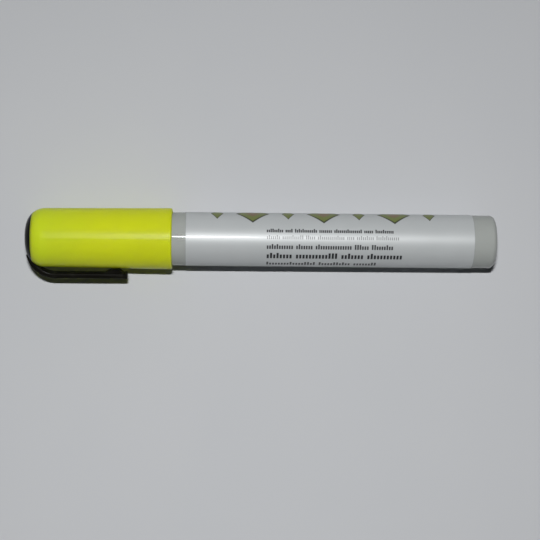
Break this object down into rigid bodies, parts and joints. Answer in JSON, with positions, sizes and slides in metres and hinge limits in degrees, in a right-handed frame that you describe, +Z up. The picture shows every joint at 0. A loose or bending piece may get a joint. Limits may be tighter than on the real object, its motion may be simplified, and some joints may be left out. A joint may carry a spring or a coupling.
{
  "type": "pump-action paint marker",
  "caption": "Capped pump-action paint marker with a chisel felt nib, spring valve, mixing ball, wrap label and a pull-off cap with a pocket clip.",
  "frame": {"origin": "on the pen's axis at the middle of its capped length, inside the barrel's outside cylinder", "axes": "+X along the pen from the cap to the closed end of the barrel, +Z up as the pen lies, the clip towards -Y and hanging 8 degrees below it"},
  "size_m": [0.14, 0.0213, 0.0182],
  "materials": {
    "barrel_plastic": "light grey, glossy from the mould",
    "label_film": "satin silver-grey film",
    "section_plastic": "satin white",
    "seal_rubber": "matt black",
    "nib_felt": "pressed felt wetted with yellow paint",
    "valve_plastic": "natural white",
    "spring_steel": "drawn wire",
    "ball_steel": "polished",
    "cap_plastic": "satin fluorescent yellow",
    "liner_plastic": "natural white",
    "clip_plastic": "black, slightly glossy"
  },
  "bodies": {
    "pen_body": {"barrel": "barrel_plastic", "barrel_label": "label_film", "front_section": "section_plastic", "section_seal": "seal_rubber", "valve_seat": "seal_rubber", "valve_spring": "spring_steel", "valve_cage": "valve_plastic"},
    "cap": {"cap_shell": "cap_plastic", "cap_liner": "liner_plastic", "cap_clip": "clip_plastic"},
    "nib": {"nib": "nib_felt"},
    "stem": {"valve_stem": "valve_plastic"},
    "ball": {"mixing_ball": "ball_steel"}
  },
  "joints": [
    {"name": "cap_pull", "type": "slide", "parent": "pen_body", "child": "cap", "axis": [-1, 0, 0], "range_m": [0, 0.05]},
    {"name": "nib_press", "type": "slide", "parent": "pen_body", "child": "nib", "axis": [1, 0, 0], "range_m": [0, 0.002], "stiffness_N_per_m": 500, "springref_m": -0.002},
    {"name": "valve_lift", "type": "slide", "parent": "pen_body", "child": "stem", "axis": [1, 0, 0], "range_m": [0, 0.002], "deforming": ["valve_spring"]},
    {"name": "ball_roll", "type": "slide", "parent": "pen_body", "child": "ball", "axis": [-1, 0, 0], "range_m": [0, 0.0715]}
  ],
  "couplings": [
    {"joint": "valve_lift", "follows": "nib_press", "ratio": 1}
  ]
}
